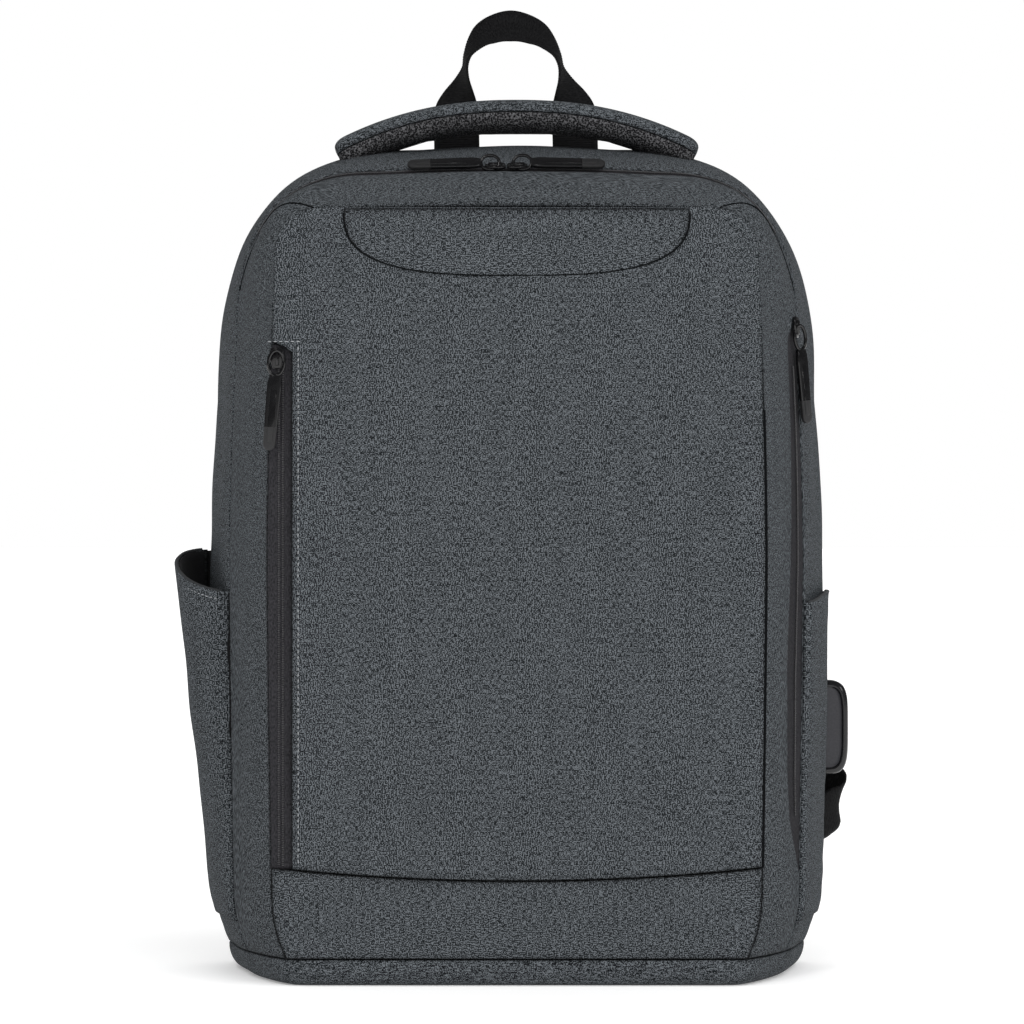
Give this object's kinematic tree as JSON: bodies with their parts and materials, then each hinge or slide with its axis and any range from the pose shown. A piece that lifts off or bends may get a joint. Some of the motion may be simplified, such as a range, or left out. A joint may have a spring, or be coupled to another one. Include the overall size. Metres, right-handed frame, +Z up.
{
  "type": "laptop backpack",
  "caption": "Flat-bottomed laptop backpack in grey heather cloth with zip pockets, padded carry handle, haul loop and shoulder straps.",
  "frame": {"origin": "on the floor, in the middle of the flat bottom, side to side, and a little behind its middle, front to back", "axes": "+Z up, -Y out of the front panel, +X to the right of someone who looks at the front"},
  "size_m": [0.3706, 0.1957, 0.5214],
  "materials": {
    "heather_cloth": "two-tone heather weave, matte",
    "spacer_mesh": "air mesh, matte",
    "black_webbing": "ribbed webbing, slight sheen",
    "zip_tape": "fine woven tape, matte",
    "gloss_black": "gloss",
    "black_plastic": "satin"
  },
  "bodies": {
    "root": {"front_panel": "heather_cloth", "yoke": "heather_cloth", "bottom_band": "heather_cloth", "front_gusset": "heather_cloth", "main_gusset": "heather_cloth", "bottom_panel": "heather_cloth", "back_panel": "spacer_mesh", "top_zip_tape": "zip_tape", "right_zip_tape": "zip_tape", "left_zip_tape": "zip_tape", "left_pocket": "heather_cloth", "left_pocket_lining": "zip_tape", "right_pocket": "heather_cloth", "charging_port": "black_plastic", "carry_handle_top": "heather_cloth", "carry_handle_mesh": "spacer_mesh", "haul_loop": "black_webbing", "top_zip_slider_left": "gloss_black", "top_pull_left": "gloss_black", "top_zip_slider_right": "gloss_black", "top_pull_right": "gloss_black", "right_zip_slider": "gloss_black", "right_pull": "gloss_black", "left_zip_slider": "gloss_black", "left_pull": "gloss_black", "strap_left": "spacer_mesh", "ladder_lock_left": "black_plastic", "strap_webbing_left": "black_webbing", "strap_anchor_left": "black_webbing", "strap_right": "spacer_mesh", "ladder_lock_right": "black_plastic", "strap_webbing_right": "black_webbing", "strap_anchor_right": "black_webbing"}
  },
  "joints": []
}
